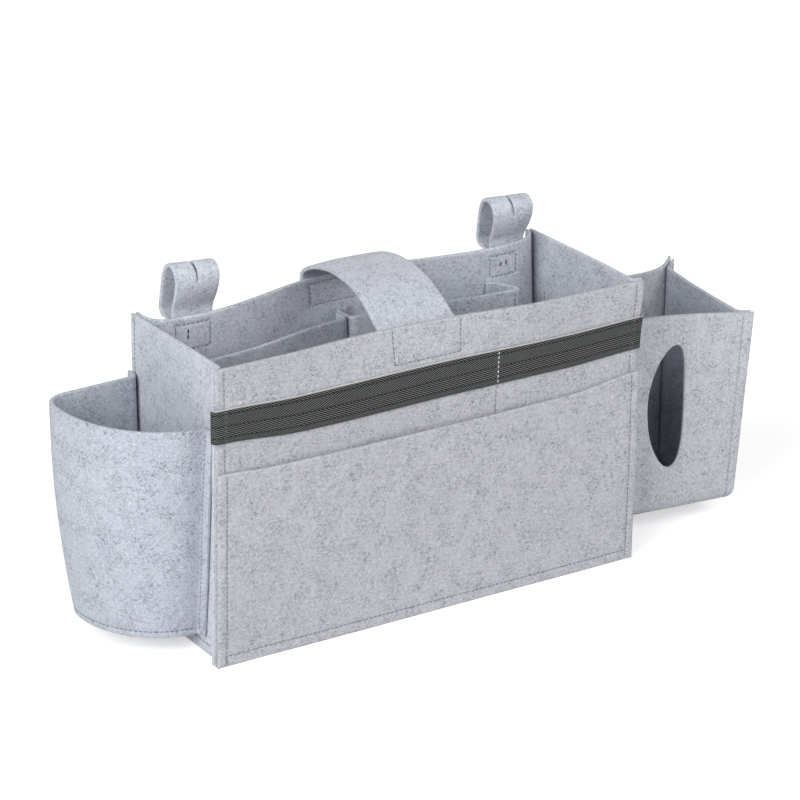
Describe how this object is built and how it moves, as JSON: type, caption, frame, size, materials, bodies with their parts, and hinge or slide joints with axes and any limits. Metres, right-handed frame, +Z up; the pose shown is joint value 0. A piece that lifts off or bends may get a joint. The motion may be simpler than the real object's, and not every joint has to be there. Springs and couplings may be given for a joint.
{
  "type": "felt bedside caddy",
  "caption": "Sewn felt bedside caddy: open box with front slip pocket, inner pockets, carry handle, bottle pocket, tissue pocket and swinging hanging loops.",
  "frame": {"origin": "on the floor under the middle of the whole caddy's bounding box", "axes": "+X to the right seen from the front, towards the tissue pocket; +Y back towards the bed; +Z up"},
  "size_m": [0.5002, 0.1266, 0.2415],
  "materials": {
    "grey_felt": "matte heathered needle felt",
    "dark_webbing": "herringbone weave"
  },
  "bodies": {
    "caddy": {"front_panel": "grey_felt", "front_pocket_panel": "grey_felt", "webbing_strap": "dark_webbing", "left_end_panel": "grey_felt", "right_end_panel": "grey_felt", "back_panel": "grey_felt", "base_panel": "grey_felt", "left_inner_pocket": "grey_felt", "right_inner_pocket": "grey_felt", "carry_handle": "grey_felt", "bottle_pocket_wall": "grey_felt", "bottle_pocket_base": "grey_felt", "tissue_pocket_wrap": "grey_felt", "tissue_pocket_side": "grey_felt", "left_loop_tail": "grey_felt", "right_loop_tail": "grey_felt"},
    "left_loop": {"left_hanging_loop": "grey_felt"},
    "right_loop": {"right_hanging_loop": "grey_felt"}
  },
  "joints": [
    {"name": "left_loop_swing", "type": "hinge", "parent": "caddy", "child": "left_loop", "pos_m": [-0.14526, 0.04323, 0.198], "axis": [-1, 0, 0], "range_deg": [0, 90], "stiffness_Nm_per_rad": 0.004, "springref_deg": -2.86},
    {"name": "right_loop_swing", "type": "hinge", "parent": "caddy", "child": "right_loop", "pos_m": [0.10074, 0.04788, 0.198], "axis": [-1, 0, 0], "range_deg": [0, 90], "stiffness_Nm_per_rad": 0.004, "springref_deg": -2.86}
  ]
}
